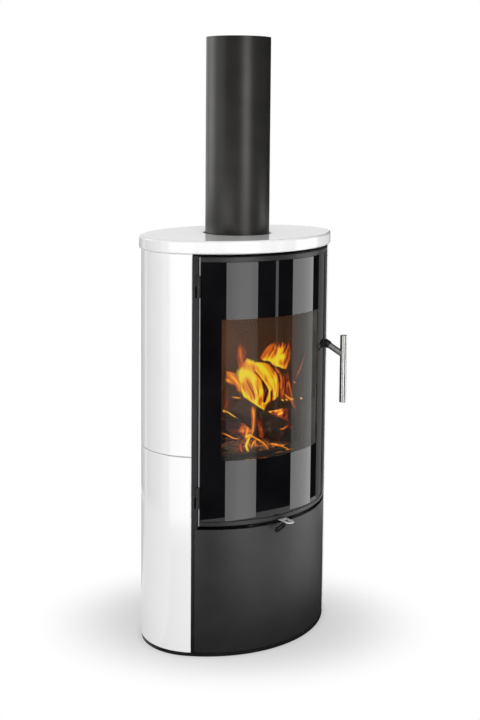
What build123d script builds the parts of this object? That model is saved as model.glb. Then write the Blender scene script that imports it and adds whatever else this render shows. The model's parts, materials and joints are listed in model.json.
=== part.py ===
from build123d import *
import math
import os

# Oval wood stove with a curved glass fire door, glazed side tiles and a top flue.
# Millimetres, +Z up, origin at the centre of the underside, front at -Y.

# ---- plan: a four-arc oval, every wall is an offset of the black body line ----
body_half_width = 248.5
body_half_depth = 182.0
end_radius = 130.0
edge_gap = 0.5
running_gap = 0.05
seat_gap = 0.3
cut_over = 1.0
sheet_round = 1.0

# ---- heights ----
base_thickness = 8.0
plinth_height = 294.5
air_gap = 8.0
door_height = 622.0
door_top_gap = 3.0
deck_thickness = 4.0
plate_thickness = 30.0

# ---- ceramic ----
tile_thickness = 22.0
tile_proud = 1.5
tile_joint_z = 473.0
tile_joint = 1.5
tile_edge_angle = 44.7
tile_fillet = 2.5
plate_overhang = 6.5
plate_fillet = 5.0
plate_hole_gap = 4.0
hole_fillet = 4.0

# ---- steel casing ----
post_edge_angle = 41.9
post_foot_angle = 43.4
post_depth = 21.0
shield_thickness = 1.5
rear_sheet = 1.5
rear_slot_start = 2.0
rear_slot_stop = 27.0
rear_slot_height = 8.0
rear_slot_pitch = 24.0
rear_slot_count = 5
rear_slot_low = 30.0
rear_slot_high = 60.0
panel_sheet = 3.0
panel_clip_size = 18.0
panel_clip_angle = 5.0
panel_clip_inset = 40.0
panel_side_gap = 1.0

# ---- fire door ----
door_edge_angle = 41.6
door_depth = 25.0
lip_depth = 8.0
top_rail = 11.0
bottom_rail = 10.0
left_lip_angle = 0.8
right_lip_angle = 4.6
frame_opening_angle = 33.0
frame_opening_inset = 36.0
glass_thickness = 4.0
glass_recess = 1.5
gasket_width = 14.0
gasket_side_width = 4.7
seal_depth = 11.7
seal_width = 11.0
seal_margin = 6.0
seal_side_angle = 1.0

# ---- hinges ----
hinge_pin_radius = 3.0
knuckle_radius = 4.5
knuckle_height = 25.0
knuckle_gap = 0.4
knuckle_leaf_depth = 14.0
door_leaf_width = 4.0
post_leaf_width = 8.0
hinge_inset_top = 42.0
hinge_inset_bottom = 42.0

# ---- handle and latch ----
handle_angle = 39.3
handle_height = 697.0
boss_radius = 10.0
boss_depth = 3.5
collar_radius = 9.5
collar_length = 9.0
shaft_radius = 5.0
shaft_tail = 2.0
grip_radius = 8.3
grip_length = 166.0
grip_above = 48.5
grip_drop = 27.0
grip_stand_off = 46.0
grip_chamfer = 0.8
arm_radius = 7.5
tongue_width = 10.0
tongue_length = 24.0
tongue_thickness = 4.0
keeper_height = 11.0
keeper_width = 12.0

# ---- firebox ----
shell_thickness = 4.0
shell_top_z = 905.0
top_sheet = 5.0
floor_sheet = 4.0
mouth_angle = 33.5
mouth_inset = 38.0
lining_thickness = 25.0
lining_front_angle = 38.0
lining_back_angle = 40.0
lining_gap = 1.0
hearth_z = 425.0
hearth_sheet = 6.0
brick_thickness = 25.0
baffle_z = 806.0
baffle_thickness = 25.0
baffle_front_cut = 62.0
upper_baffle_z = 858.0
upper_baffle_sheet = 3.0
upper_baffle_rear_cut = 55.0
support_size = 12.0
support_offset = 118.0
grate_width = 190.0
grate_depth = 120.0
grate_thickness = 14.0
grate_bars = 11
grate_rim = 12.0
grate_gap = 1.0
grate_ledge = 8.0
pan_width = 250.0
pan_depth = 176.0
pan_height = 62.0
pan_sheet = 1.5
pan_pull_radius = 4.0
pan_pull_width = 70.0
pan_pull_reach = 18.0
pan_pull_bend = 10.0
guard_thickness = 4.0
guard_height = 12.0
guard_angle = 32.0

# ---- firewood ----
log_length = 230.0
log_radius = 58.0
log_split_angle = 80.0
log_places = ((-4.0, -78.0, 6.0), (6.0, 12.0, -8.0))
cross_log_place = (8.0, -36.0, 38.0)

# ---- flue ----
pipe_bore = 150.0
pipe_wall = 2.0
pipe_bottom_z = 930.0
pipe_length = 503.0
collar_wall = 3.0
collar_height = 32.0
collar_fit = 0.4
collar_ledge = 1.0

# ---- air control ----
lever_pivot_y = -70.0
lever_width = 14.0
lever_thickness = 3.0
lever_reach = 15.0
tab_length = 19.0
tab_width = 22.0
tab_hole_width = 9.0
tab_hole_length = 20.0
tab_thickness = 2.0
lever_overlap = 21.0
loop_side = 20.0
loop_width = 11.5
loop_hole_width = 3.5
loop_hole_length = 16.0
loop_thickness = 3.0
loop_tilt = 20.0
damper_radius = 46.0
damper_thickness = 2.5
damper_ports = 4
port_radius = 11.0
port_circle = 30.0
pivot_radius = 4.0
pivot_head = 9.0
pivot_head_height = 4.0
air_box_wall = 2.0
air_box_height = 60.0
air_box_margin = 10.0
spigot_bore = 100.0
spigot_wall = 2.0
spigot_y = 60.0
duct_top_gap = 0.3

# ---- small fixings ----
screw_radius = 5.0
screw_length = 26.0
screw_head = 8.5
screw_x = 150.0
screw_y = 95.0

# ---- worked-out values ----
end_x = body_half_width - end_radius
arc_y = (end_x ** 2 - (body_half_depth - end_radius) ** 2) / (2 * (body_half_depth - end_radius))
arc_radius = body_half_depth + arc_y
plinth_top = base_thickness + edge_gap + plinth_height
door_bottom = plinth_top + air_gap
door_top = door_bottom + door_height
deck_top = door_top + door_top_gap + deck_thickness
plate_top = deck_top + plate_thickness
mid_deck_top = door_bottom + deck_thickness
shell_offset = -(door_depth + seal_depth + seat_gap)
shell_inner = shell_offset - shell_thickness
lining_outer = shell_inner - lining_gap
lining_inner = lining_outer - lining_thickness
tile_inner = tile_proud - tile_thickness
tile_top = deck_top - edge_gap
brick_top = hearth_z + hearth_sheet + brick_thickness
mouth_low = door_bottom + mouth_inset
mouth_high = door_top - mouth_inset
lever_top = door_bottom - seat_gap - damper_thickness
lever_low = lever_top - lever_thickness
lever_front = -(body_half_depth + lever_reach)
far = 8 * body_half_width


def polar(angle, offset):
    """Plan point on the front arc, angle in degrees from -Y, offset outwards from the body line."""
    turn = math.radians(angle)
    reach = arc_radius + offset
    return reach * math.sin(turn), arc_y - reach * math.cos(turn)


def oval_face(offset):
    """Oval plan face: two flat arcs and two end arcs about fixed centres."""
    tilt = math.atan2(arc_y, end_x)
    tangent_x = end_x + (end_radius + offset) * math.cos(tilt)
    tangent_y = (end_radius + offset) * math.sin(tilt)
    depth = body_half_depth + offset
    width = body_half_width + offset
    outline = [
        ThreePointArc((-tangent_x, -tangent_y), (0, -depth), (tangent_x, -tangent_y)),
        ThreePointArc((tangent_x, -tangent_y), (width, 0), (tangent_x, tangent_y)),
        ThreePointArc((tangent_x, tangent_y), (0, depth), (-tangent_x, tangent_y)),
        ThreePointArc((-tangent_x, tangent_y), (-width, 0), (-tangent_x, -tangent_y)),
    ]
    return make_face(Wire(outline))


def oval(offset, low, high):
    """Solid oval slab between two heights."""
    return Pos(0, 0, low) * extrude(oval_face(offset), high - low)


def ring(outer, inner, low, high):
    """Oval wall between two offsets."""
    return oval(outer, low, high) - oval(inner, low - cut_over, high + cut_over)


def sector(outer, inner, low, high, start, stop):
    """Piece of a wall on the front arc, between two angles."""
    middle = (start + stop) / 2
    outline = [
        ThreePointArc(polar(start, outer), polar(middle, outer), polar(stop, outer)),
        Line(polar(stop, outer), polar(stop, inner)),
        ThreePointArc(polar(stop, inner), polar(middle, inner), polar(start, inner)),
        Line(polar(start, inner), polar(start, outer)),
    ]
    return Pos(0, 0, low) * extrude(make_face(Wire(outline)), high - low)


def wedge(angle, low, high):
    """Front wedge from the arc's centre, used to cut a wall at an angle."""
    turn = math.radians(angle)
    corner_x = far * math.sin(turn)
    corner_y = arc_y - far * math.cos(turn)
    outline = Polyline((0, arc_y), (corner_x, corner_y), (-corner_x, corner_y), close=True)
    return Pos(0, 0, low) * extrude(make_face(outline), high - low)


def rear(shape):
    """The same shape at the back."""
    return mirror(shape, Plane.XZ)


def block(low, high):
    """Box between two corners."""
    size = [high[axis] - low[axis] for axis in range(3)]
    middle = [(high[axis] + low[axis]) / 2 for axis in range(3)]
    return Pos(*middle) * Box(*size)


def side_wall(outer, inner, low, high, front_angle, back_angle, side):
    """Wall round one end of the oval, side -1 is the left."""
    wall = ring(outer, inner, low, high)
    wall -= wedge(front_angle, low - cut_over, high + cut_over)
    wall -= rear(wedge(back_angle, low - cut_over, high + cut_over))
    inside = 0 if side > 0 else -far
    return wall & block((inside, -far, low), (inside + far, far, high))


def at_front(angle, offset, height):
    """Frame on the front arc: X along the wall to the right, Z outwards."""
    turn = math.radians(angle)
    x, y = polar(angle, offset)
    return Plane(origin=(x, y, height), x_dir=(math.cos(turn), math.sin(turn), 0),
                 z_dir=(math.sin(turn), -math.cos(turn), 0))


def rod(radius, low, high):
    """Upright cylinder between two heights."""
    return Pos(0, 0, low) * Cylinder(radius, high - low, align=(Align.CENTER, Align.CENTER, Align.MIN))


def wall_box(angle, along, outward, heights):
    """Box set square to the front arc: ranges along the wall, outwards and in height."""
    shape = block((along[0], heights[0], outward[0]), (along[1], heights[1], outward[1]))
    return at_front(angle, 0, 0) * shape


def firewood_log(length, place):
    """Quarter-split log lying on one of its flat sides."""
    turn = math.radians(log_split_angle)
    half_turn = turn / 2
    tip = (log_radius * math.cos(turn), log_radius * math.sin(turn))
    middle = (log_radius * math.cos(half_turn), log_radius * math.sin(half_turn))
    outline = [
        Line((0, 0), (log_radius, 0)),
        ThreePointArc((log_radius, 0), middle, tip),
        Line(tip, (0, 0)),
    ]
    solid = extrude(Plane.YZ * make_face(Wire(outline)), length / 2, both=True)
    return place * solid


parts = {}


# ---------------------------------------------------------------- casing
def casing():
    spigot_outer = spigot_bore / 2 + spigot_wall
    screws = [(x, y) for x in (-screw_x, screw_x) for y in (-screw_y, screw_y)]
    base = oval(0, 0, base_thickness)
    base -= Pos(0, spigot_y) * rod(spigot_outer + edge_gap, -cut_over, far)
    for x, y in screws:
        base -= Pos(x, y) * rod(screw_radius + running_gap, -cut_over, far)
    parts["base_plate"] = base

    feet = []
    for x, y in screws:
        shank = Pos(x, y) * rod(screw_radius, 0, screw_length)
        head_z = base_thickness + seat_gap
        nut = Pos(x, y, head_z) * extrude(RegularPolygon(screw_head, 6, major_radius=True), screw_head)
        feet.append(shank + nut)
    parts["levelling_screws"] = Compound(feet)

    low = base_thickness
    high = deck_top - deck_thickness
    edge = tile_edge_angle - math.degrees(edge_gap / arc_radius)
    for side, name in ((-1, "left_post"), (1, "right_post")):
        upper = sector(0, -post_depth, plinth_top, high, *sorted((side * post_edge_angle, side * edge)))
        lower = sector(0, -post_depth, low, plinth_top, *sorted((side * post_foot_angle, side * edge)))
        parts[name] = upper + lower
    for z in hinge_heights():
        parts["left_post"] -= hinge_notch(z, -post_leaf_width, 0)

    shield_outer = tile_inner - seat_gap
    for side, name in ((-1, "left_shield"), (1, "right_shield")):
        parts[name] = side_wall(shield_outer, shield_outer - shield_thickness, low, high,
                                tile_edge_angle, tile_edge_angle, side)

    panel = rear(sector(0, -rear_sheet, low, high, -edge, edge))
    for row in range(rear_slot_count):
        top_row = high - rear_slot_high - row * rear_slot_pitch
        low_row = low + rear_slot_low + row * rear_slot_pitch
        for z in (top_row, low_row):
            for side in (-1, 1):
                start, stop = sorted((side * rear_slot_start, side * rear_slot_stop))
                slot = sector(cut_over, -post_depth, z, z + rear_slot_height, start, stop)
                panel -= rear(slot)
    parts["rear_panel"] = panel

    deck = oval(shield_outer - shield_thickness - seat_gap, door_bottom, mid_deck_top)
    deck -= sector(cut_over, shell_offset, 0, far, -post_edge_angle, post_edge_angle)
    deck -= rod_hole(pivot_radius + running_gap, 0, lever_pivot_y)
    parts["mid_deck"] = deck - damper_port_tool()

    parts["top_deck"] = oval(shield_outer, deck_top - deck_thickness, deck_top)
    parts["top_deck"] -= rod_hole(pipe_bore / 2 + pipe_wall + plate_hole_gap, 0, 0)

    edge_low = post_foot_angle - math.degrees(panel_side_gap / arc_radius)
    panel = sector(0, -panel_sheet, base_thickness + edge_gap, plinth_top, -edge_low, edge_low)
    parts["plinth_panel"] = fillet(edges_on_offset(panel, 0), sheet_round)
    clips = []
    for side in (-1, 1):
        for z in (base_thickness + panel_clip_inset, plinth_top - panel_clip_inset):
            start, stop = sorted((side * (edge_low - panel_clip_angle), side * post_foot_angle))
            clips.append(sector(-panel_sheet - seat_gap, -2 * panel_sheet - seat_gap, z,
                                z + panel_clip_size, start, stop))
    parts["panel_clips"] = Compound(clips)


def rod_hole(radius, x, y):
    return Pos(x, y) * rod(radius, 0, far)


def hinge_heights():
    """Height of the plane between the two knuckles of each hinge."""
    top = door_top - hinge_inset_top - knuckle_height
    bottom = door_bottom + hinge_inset_bottom + knuckle_height
    return top, bottom


def hinge_axis():
    return polar(-(post_edge_angle + door_edge_angle) / 2, 0)


def hinge_notch(z, left, right):
    """Room for a hinge at a wall's edge, in the frame of the hinge axis."""
    clearance = knuckle_radius + knuckle_gap
    x, y = hinge_axis()
    reach = knuckle_height + knuckle_gap
    angle = -(post_edge_angle + door_edge_angle) / 2
    cut = wall_box(angle, (left, right), (-knuckle_leaf_depth, cut_over), (z - reach, z + reach))
    return cut + Pos(x, y) * rod(clearance, z - reach, z + reach)


# ---------------------------------------------------------------- ceramic
def ceramic():
    spans = (("lower", base_thickness + edge_gap, tile_joint_z - tile_joint / 2),
             ("upper", tile_joint_z + tile_joint / 2, tile_top))
    for side, hand in ((-1, "left"), (1, "right")):
        for level, low, high in spans:
            tile = side_wall(tile_proud, tile_inner, low, high, tile_edge_angle, tile_edge_angle, side)
            parts["tile_%s_%s" % (hand, level)] = fillet(edges_on_offset(tile, tile_proud), tile_fillet)

    plate = oval(plate_overhang, deck_top, plate_top)
    plate = fillet(plate.edges(), plate_fillet)
    hole = pipe_bore / 2 + pipe_wall + plate_hole_gap
    plate -= rod(hole, 0, far)
    rim = [edge for edge in plate.edges().filter_by(GeomType.CIRCLE)
           if abs(edge.radius - hole) < running_gap and edge.center().Z > plate_top - edge_gap]
    parts["top_plate"] = fillet(rim, hole_fillet)


def edges_on_offset(shape, offset):
    """Edges whose middle lies on the oval line at this offset."""
    found = []
    for edge in shape.edges():
        point = edge.center()
        x = abs(point.X)
        y = abs(point.Y)
        if math.atan2(y, x - end_x) < math.atan2(arc_y, end_x):
            reach = math.hypot(x - end_x, y) - end_radius
        else:
            reach = math.hypot(x, y + arc_y) - arc_radius
        if abs(reach - offset) < running_gap:
            found.append(edge)
    return found


# ---------------------------------------------------------------- firebox
def firebox():
    shell = ring(shell_offset, shell_inner, mid_deck_top, shell_top_z)
    shell -= sector(0, shell_inner - cut_over, mouth_low, mouth_high, -mouth_angle, mouth_angle)
    parts["firebox_shell"] = shell
    throat = pipe_bore / 2 - collar_ledge
    parts["firebox_floor"] = oval(shell_inner - seat_gap, mouth_low - floor_sheet, mouth_low)
    parts["firebox_floor"] -= rear(damper_port_tool())
    parts["firebox_top"] = oval(shell_offset, shell_top_z, shell_top_z + top_sheet)
    parts["firebox_top"] -= rod(throat, 0, far)

    socket = pipe_bore / 2 + pipe_wall + collar_fit
    collar = rod(socket + collar_wall, shell_top_z + top_sheet, pipe_bottom_z + collar_height)
    collar -= rod(throat, 0, far)
    parts["flue_collar"] = collar - rod(socket, pipe_bottom_z, far)

    pipe = rod(pipe_bore / 2 + pipe_wall, pipe_bottom_z, pipe_bottom_z + pipe_length)
    parts["flue_pipe"] = pipe - rod(pipe_bore / 2, 0, far)

    brick_low = hearth_z + hearth_sheet
    brick_high = brick_top
    opening_x = grate_width / 2 + grate_gap
    opening_y = grate_depth / 2 + grate_gap
    ledge = grate_ledge + grate_gap
    opening = block((-opening_x, -opening_y, 0), (opening_x, opening_y, far))
    narrow = block((ledge - opening_x, ledge - opening_y, 0), (opening_x - ledge, opening_y - ledge, far))
    parts["hearth_plate"] = oval(shell_inner - seat_gap, hearth_z, brick_low) - narrow
    parts["hearth_bricks"] = oval(lining_outer, brick_low, brick_high) - opening

    lining_top = baffle_z
    back = rear(sector(lining_outer, lining_inner, brick_high, lining_top,
                       -lining_back_angle, lining_back_angle))
    parts["lining_back"] = back
    for side, name in ((-1, "lining_left"), (1, "lining_right")):
        joint_angle = lining_back_angle + math.degrees(lining_gap / arc_radius)
        parts[name] = side_wall(lining_outer, lining_inner, brick_high, lining_top,
                                lining_front_angle, joint_angle, side)

    baffle = oval(lining_outer, baffle_z, baffle_z + baffle_thickness)
    front_y = -(body_half_depth + lining_outer - baffle_front_cut)
    parts["baffle_plate"] = baffle & block((-far, front_y, 0), (far, far, far))
    upper = oval(lining_outer, upper_baffle_z, upper_baffle_z + upper_baffle_sheet)
    rear_y = body_half_depth + lining_outer - upper_baffle_rear_cut
    parts["upper_baffle"] = upper & block((-far, -far, 0), (far, rear_y, far))
    supports = []
    for x in (-support_offset, support_offset):
        leg = block((x, -support_offset / 2, baffle_z + baffle_thickness),
                    (x + support_size, support_offset / 2, upper_baffle_z))
        supports.append(leg)
    parts["baffle_supports"] = Compound(supports)

    rail_low = brick_low
    grate = block((-grate_width / 2, -grate_depth / 2, rail_low),
                  (grate_width / 2, grate_depth / 2, rail_low + grate_thickness))
    pitch = (grate_width - grate_rim) / grate_bars
    for bar in range(grate_bars):
        x = -grate_width / 2 + grate_rim + bar * pitch
        grate -= block((x, -grate_depth / 2 + grate_rim, 0),
                       (x + pitch / 2, grate_depth / 2 - grate_rim, far))
    parts["grate"] = grate

    guard_low = brick_high
    parts["log_guard"] = sector(shell_inner - seat_gap, shell_inner - seat_gap - guard_thickness,
                                guard_low, guard_low + guard_height, -guard_angle, guard_angle)

    pan_low = mouth_low
    half = pan_width / 2
    pan_y = pan_depth / 2
    pan = block((-half, -pan_y, pan_low), (half, pan_y, pan_low + pan_height))
    pan -= block((pan_sheet - half, pan_sheet - pan_y, pan_low + pan_sheet),
                 (half - pan_sheet, pan_y - pan_sheet, far))
    route = FilletPolyline((-pan_pull_width / 2, -pan_y, pan_low + pan_height / 2),
                           (-pan_pull_width / 2, -pan_y - pan_pull_reach, pan_low + pan_height / 2),
                           (pan_pull_width / 2, -pan_y - pan_pull_reach, pan_low + pan_height / 2),
                           (pan_pull_width / 2, -pan_y, pan_low + pan_height / 2), radius=pan_pull_bend)
    pull = sweep(Plane(origin=route @ 0, z_dir=route % 0) * Circle(pan_pull_radius), path=route)
    parts["ash_pan"] = pan + pull


def firewood():
    """Three split logs: two on the hearth and one across them."""
    top = brick_top + log_radius * math.sin(math.radians(log_split_angle)) + seat_gap
    logs = []
    for x, y, turn in log_places:
        logs.append(firewood_log(log_length, Pos(x, y, brick_top + seat_gap) * Rot(0, 0, turn)))
    x, y, turn = cross_log_place
    logs.append(firewood_log(log_length, Pos(x, y, top) * Rot(0, 0, turn)))
    parts["fire_logs"] = Compound(logs)


# ---------------------------------------------------------------- fire door
def fire_door():
    edge = door_edge_angle
    outer = sector(0, -door_depth, door_bottom, door_top, -edge, edge)
    outer = fillet(edges_on_offset(outer, 0), sheet_round)
    glass_left = -edge + left_lip_angle
    glass_right = edge - right_lip_angle
    glass_low = door_bottom + bottom_rail
    glass_high = door_top - top_rail
    pocket = sector(cut_over, -lip_depth, glass_low, glass_high, glass_left, glass_right)
    opening = sector(cut_over, -door_depth - cut_over, door_bottom + frame_opening_inset,
                     door_top - frame_opening_inset, -frame_opening_angle, frame_opening_angle)
    frame = outer - pocket - opening
    for z in hinge_heights():
        frame -= hinge_notch(z, 0, door_leaf_width)
    bore = at_front(handle_angle, 0, handle_height) * Cylinder(shaft_radius + running_gap, far)
    parts["door_frame"] = frame - bore

    slack = math.degrees(edge_gap / arc_radius)
    glass_back = -glass_recess - glass_thickness
    parts["door_glass"] = sector(-glass_recess, glass_back, glass_low + edge_gap, glass_high - edge_gap,
                                 glass_left + slack, glass_right - slack)
    gasket_angle = math.degrees(gasket_side_width / arc_radius)
    gasket = sector(glass_back - seat_gap, seat_gap - lip_depth, glass_low + edge_gap, glass_high - edge_gap,
                    glass_left + slack, glass_right - slack)
    gasket -= sector(cut_over, -door_depth, glass_low + gasket_width, glass_high - gasket_width,
                     glass_left + gasket_angle, glass_right - gasket_angle)
    parts["glass_gasket"] = gasket

    rope_angle = math.degrees(seal_width / arc_radius)
    inner = frame_opening_angle + seal_side_angle
    rope_low = door_bottom + frame_opening_inset - seal_width - seal_margin
    rope_high = door_top - frame_opening_inset + seal_width + seal_margin
    rope = sector(-door_depth - seat_gap, -door_depth - seal_depth, rope_low, rope_high,
                  -inner - rope_angle, inner + rope_angle)
    rope -= sector(0, shell_inner, rope_low + seal_width, rope_high - seal_width, -inner, inner)
    parts["door_seal"] = rope

    x, y = hinge_axis()
    angle = -(post_edge_angle + door_edge_angle) / 2
    pins = []
    post_side = []
    door_side = []
    for z in hinge_heights():
        top = z + knuckle_height
        bottom = z - knuckle_height
        half_gap = knuckle_gap / 2
        pins.append(Pos(x, y) * rod(hinge_pin_radius, bottom, top))
        upper = Pos(x, y) * rod(knuckle_radius, z + half_gap, top)
        upper += wall_box(angle, (-post_leaf_width, 0), (-knuckle_leaf_depth, 0), (z + half_gap, top))
        post_side.append(upper - Pos(x, y) * rod(hinge_pin_radius, 0, far))
        lower = Pos(x, y) * rod(knuckle_radius, bottom, z - half_gap)
        lower += wall_box(angle, (0, door_leaf_width), (-knuckle_leaf_depth, 0), (bottom, z - half_gap))
        door_side.append(lower - Pos(x, y) * rod(hinge_pin_radius + running_gap, 0, far))
    parts["hinge_pins"] = Compound(pins)
    parts["post_knuckles"] = Compound(post_side)
    parts["door_knuckles"] = Compound(door_side)


# ---------------------------------------------------------------- handle and latch
def handle():
    here = at_front(handle_angle, 0, handle_height)
    boss = rod(boss_radius, -boss_depth, boss_depth) - Cylinder(shaft_radius + running_gap, far)
    parts["handle_boss"] = (here * boss) - oval(0, 0, far)

    inner = -door_depth - tongue_thickness - shaft_tail
    outer = boss_depth + edge_gap
    parts["latch_shaft"] = here * rod(shaft_radius, inner, outer)
    tongue = Pos(0, tongue_width / 2 - tongue_length / 2, inner - tongue_thickness / 2)
    tongue *= Box(tongue_width, tongue_length, tongue_thickness)
    parts["latch_tongue"] = here * tongue

    start = Vector(0, 0, outer)
    finish = Vector(0, -grip_drop, grip_stand_off)
    along = (finish - start).normalized()
    overlap = 3 * collar_radius
    behind = Pos(0, 0, outer - far) * Box(far, far, 2 * far)
    root = Plane(origin=start - along * overlap, z_dir=along)
    collar = extrude(root * Circle(collar_radius), overlap + collar_length) - behind
    arm = extrude(root * Circle(arm_radius), (finish - start).length + overlap) - behind
    arm -= collar
    grip = Pos(0, grip_above - grip_drop - grip_length / 2, grip_stand_off)
    grip *= Rot(90, 0, 0) * Cylinder(grip_radius, grip_length)
    room = Pos(0, 0, grip_stand_off) * (Rot(90, 0, 0) * Cylinder(grip_radius, 4 * grip_length))
    arm -= room
    arm = arm & (Pos(0, 0, grip_stand_off / 2) * Box(far, far, grip_stand_off))
    parts["handle_collar"] = here * chamfer(collar.edges(), grip_chamfer)
    parts["handle_arm"] = here * arm
    parts["handle_grip"] = here * chamfer(grip.edges(), grip_chamfer)

    sweep_radius = math.hypot(tongue_length - tongue_width / 2, tongue_width / 2)
    high = handle_height - sweep_radius - edge_gap
    along = (-keeper_width / 2, keeper_width / 2)
    keeper = wall_box(handle_angle, along, (shell_inner, inner), (high - keeper_height, high))
    parts["latch_keeper"] = keeper - oval(shell_offset, 0, far)


# ---------------------------------------------------------------- air control
def damper_port_tool():
    """Round air ports about the lever's pivot."""
    ports = None
    for port in range(damper_ports):
        turn = 2 * math.pi * (port + 0.5) / damper_ports
        x = port_circle * math.cos(turn)
        y = lever_pivot_y + port_circle * math.sin(turn)
        hole = rod_hole(port_radius, x, y)
        ports = hole if ports is None else ports + hole
    return ports


def air_control():
    top = door_bottom - seat_gap
    disc = Pos(0, lever_pivot_y) * rod(damper_radius, top - damper_thickness, top)
    disc -= damper_port_tool()
    disc -= rod_hole(pivot_radius, 0, lever_pivot_y)
    parts["air_damper"] = disc

    low = lever_low
    front = lever_front
    arm = block((-lever_width / 2, front, low), (lever_width / 2, lever_pivot_y, lever_top))
    arm += Pos(0, lever_pivot_y) * rod(lever_width, low, lever_top)
    parts["air_lever"] = arm - rod_hole(pivot_radius, 0, lever_pivot_y)

    loop = SlotOverall(loop_side + loop_width, loop_width) - SlotOverall(loop_hole_length, loop_hole_width)
    tilt = math.radians(loop_tilt)
    aside = loop_width / 4
    below = math.sqrt((loop_width / 2 + seat_gap) ** 2 - aside ** 2)
    middle_x = -lever_width / 2 - aside - loop_side / 2 * math.cos(tilt)
    middle_z = low - below - loop_side / 2 * math.sin(tilt)
    hang = Plane(origin=(middle_x, front + loop_thickness, middle_z),
                 x_dir=(math.cos(tilt), 0, math.sin(tilt)), z_dir=(0, -1, 0))
    parts["air_lever_ring"] = hang * extrude(loop, loop_thickness)

    tab_top = lever_top + tab_thickness
    tab_back = front + lever_overlap
    tab = block((-tab_width / 2, front - tab_length, lever_top), (tab_width / 2, tab_back, tab_top))
    tab = fillet(tab.edges().filter_by(Axis.Z).group_by(Axis.Y)[0], tab_width / 2 - edge_gap)
    hole = Rot(0, 0, 90) * SlotOverall(tab_hole_length, tab_hole_width)
    hole = Pos(0, (front - tab_length + tab_back) / 2, lever_top) * extrude(hole, tab_thickness)
    parts["air_lever_tab"] = tab - hole

    pin = Pos(0, lever_pivot_y) * rod(pivot_radius, low, mid_deck_top)
    pin += Pos(0, lever_pivot_y) * rod(pivot_head, low - pivot_head_height, low)
    parts["air_pivot"] = pin

    box_low = low - air_box_height
    margin = damper_radius + air_box_margin
    spigot_outer = spigot_bore / 2 + spigot_wall
    back = spigot_y + spigot_outer + air_box_margin
    front_wall = lever_pivot_y - margin
    outer = block((-margin, front_wall, box_low), (margin, back, door_bottom))
    inner = block((air_box_wall - margin, front_wall + air_box_wall, box_low + air_box_wall),
                  (margin - air_box_wall, back - air_box_wall, far))
    box = outer - inner
    box -= Pos(0, spigot_y) * rod(spigot_bore / 2, 0, box_low + air_box_wall + cut_over)
    slot = block((-far, -far, low - edge_gap),
                 (far, front_wall + air_box_wall + cut_over, door_bottom - edge_gap))
    parts["air_box"] = box - slot

    duct = rod(spigot_outer, edge_gap, box_low - duct_top_gap) - rod(spigot_bore / 2, 0, far)
    parts["air_duct"] = Pos(0, spigot_y) * duct


casing()
ceramic()
firebox()
firewood()
fire_door()
handle()
air_control()

os.makedirs("parts", exist_ok=True)
for name, shape in parts.items():
    export_step(shape, "parts/%s.step" % name)
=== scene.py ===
"""Blender looks of an oval tiled wood stove with a curved glass fire door and a lit fire.

Metres, +Z up, front at -Y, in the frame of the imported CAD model.
"""

import json
import math

import bpy
import numpy as np
from mathutils import Matrix, Vector

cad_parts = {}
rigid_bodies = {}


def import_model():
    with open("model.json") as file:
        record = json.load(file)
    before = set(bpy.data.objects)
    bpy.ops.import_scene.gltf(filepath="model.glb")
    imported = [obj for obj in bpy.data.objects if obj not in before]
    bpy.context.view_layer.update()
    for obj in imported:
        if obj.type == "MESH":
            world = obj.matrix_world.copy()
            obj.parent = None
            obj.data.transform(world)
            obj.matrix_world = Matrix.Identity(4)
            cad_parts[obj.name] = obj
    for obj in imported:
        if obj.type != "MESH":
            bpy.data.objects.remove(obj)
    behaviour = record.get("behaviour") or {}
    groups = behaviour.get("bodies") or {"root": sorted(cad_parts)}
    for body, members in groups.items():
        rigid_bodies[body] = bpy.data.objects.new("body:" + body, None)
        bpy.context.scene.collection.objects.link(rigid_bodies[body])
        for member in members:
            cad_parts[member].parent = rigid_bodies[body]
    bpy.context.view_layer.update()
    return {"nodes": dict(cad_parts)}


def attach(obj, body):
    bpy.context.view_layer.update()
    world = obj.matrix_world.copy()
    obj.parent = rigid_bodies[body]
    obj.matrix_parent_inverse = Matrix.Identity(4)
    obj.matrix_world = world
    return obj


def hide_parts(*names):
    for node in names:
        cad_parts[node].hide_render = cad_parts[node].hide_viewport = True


# ---- camera, fitted to the photograph's outlines; the image is 480 x 720 ----
IMAGE_HEIGHT = 720.0
IMAGE_CENTRE = (240.0, 360.0)
VIEW_AZIMUTH = 0.667656
VIEW_SINE, VIEW_COSINE = math.sin(VIEW_AZIMUTH), math.cos(VIEW_AZIMUTH)
VIEW_PITCH = 0.1050632
VIEW_ROLL = 0.0080630
VIEW_DISTANCE = 2.87824
VIEW_HEIGHT = 1.25460
FOCAL_PIXELS = 1202.366
OPTICAL_CENTRE = (237.104, 240.0)
SENSOR = 36.0

# ---- flames, picked on enlargements: their top left corner in the image's pixels, and their scale ----
# A veil's millimetres per unit are taken at VEIL_SCALE_AT; the last two values are millimetres.
TONGUE_VIEW = (206, 340, 10)
VEIL_VIEW = (214, 346, 17.42)
VEIL_SCALE_AT = (100, 500)
STREAK_SPREAD = 0.62
LOWEST_FLAME = 459
CHART_STEP = 70

# ---- plan of the stove's front arc ----
ARC_RADIUS = 0.2910216
ARC_CENTRE_Y = 0.1090216

# ---- door glass ----
GLASS_FACE = -0.0015
GLASS_BACK = -0.0055
GLASS_ANGLES = (-40.7, 36.9)
GLASS_HEIGHTS = (0.3215, 0.9215)
GLASS_BEVEL = 0.0006
WINDOW_ANGLES = (-31.4, 27.5)
WINDOW_HEIGHTS = (0.4640, 0.7910)
WINDOW_SEAM = 0.00006

# ---- firebox ----
HEARTH_TOP = 0.4565

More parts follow.
